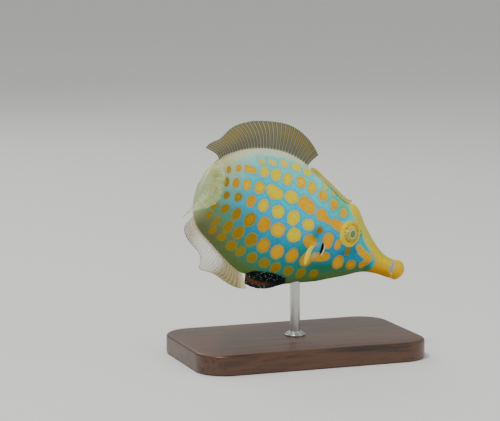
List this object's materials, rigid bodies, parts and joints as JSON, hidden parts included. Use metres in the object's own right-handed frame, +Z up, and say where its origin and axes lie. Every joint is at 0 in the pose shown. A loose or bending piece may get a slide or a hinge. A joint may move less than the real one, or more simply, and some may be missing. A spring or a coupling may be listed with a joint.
{
  "type": "harlequin filefish model",
  "caption": "Life-size still model of a harlequin filefish, tail curled to one side, held over a flat plinth by a short rod",
  "frame": {"origin": "middle of the plinth's flat underside", "axes": "+X towards the head and along the plinth's long side, +Y towards the fish's left, +Z up. The fish's right side, which the picture shows, faces -Y"},
  "size_m": [0.0797, 0.0528, 0.0712],
  "materials": {
    "skin": "satin turquoise-blue skin with orange-yellow spots",
    "orange_skin": "satin orange-yellow skin of the snout, with a pale band behind the lips",
    "fin_membrane": "thin translucent membrane between pale rays",
    "black_flap": "black skin with small white dots",
    "eye_gold": "wet gold iris with dark rays and a small dark pupil",
    "spine_tan": "dry tan spine with small barbs",
    "plinth_wood": "dark satin wood",
    "rod_metal": "brushed steel"
  },
  "bodies": {
    "root": {"mouth": "orange_skin", "snout": "orange_skin", "head": "skin", "trunk": "skin", "hind_body": "skin", "tail_stem": "skin", "eye_left": "eye_gold", "eye_right": "eye_gold", "dorsal_spine": "spine_tan", "dorsal_fin": "fin_membrane", "anal_fin": "fin_membrane", "caudal_fin": "fin_membrane", "pectoral_fin_left": "fin_membrane", "pectoral_fin_right": "fin_membrane", "pelvic_flap": "black_flap", "stand_base": "plinth_wood", "stand_rod": "rod_metal"}
  },
  "joints": []
}
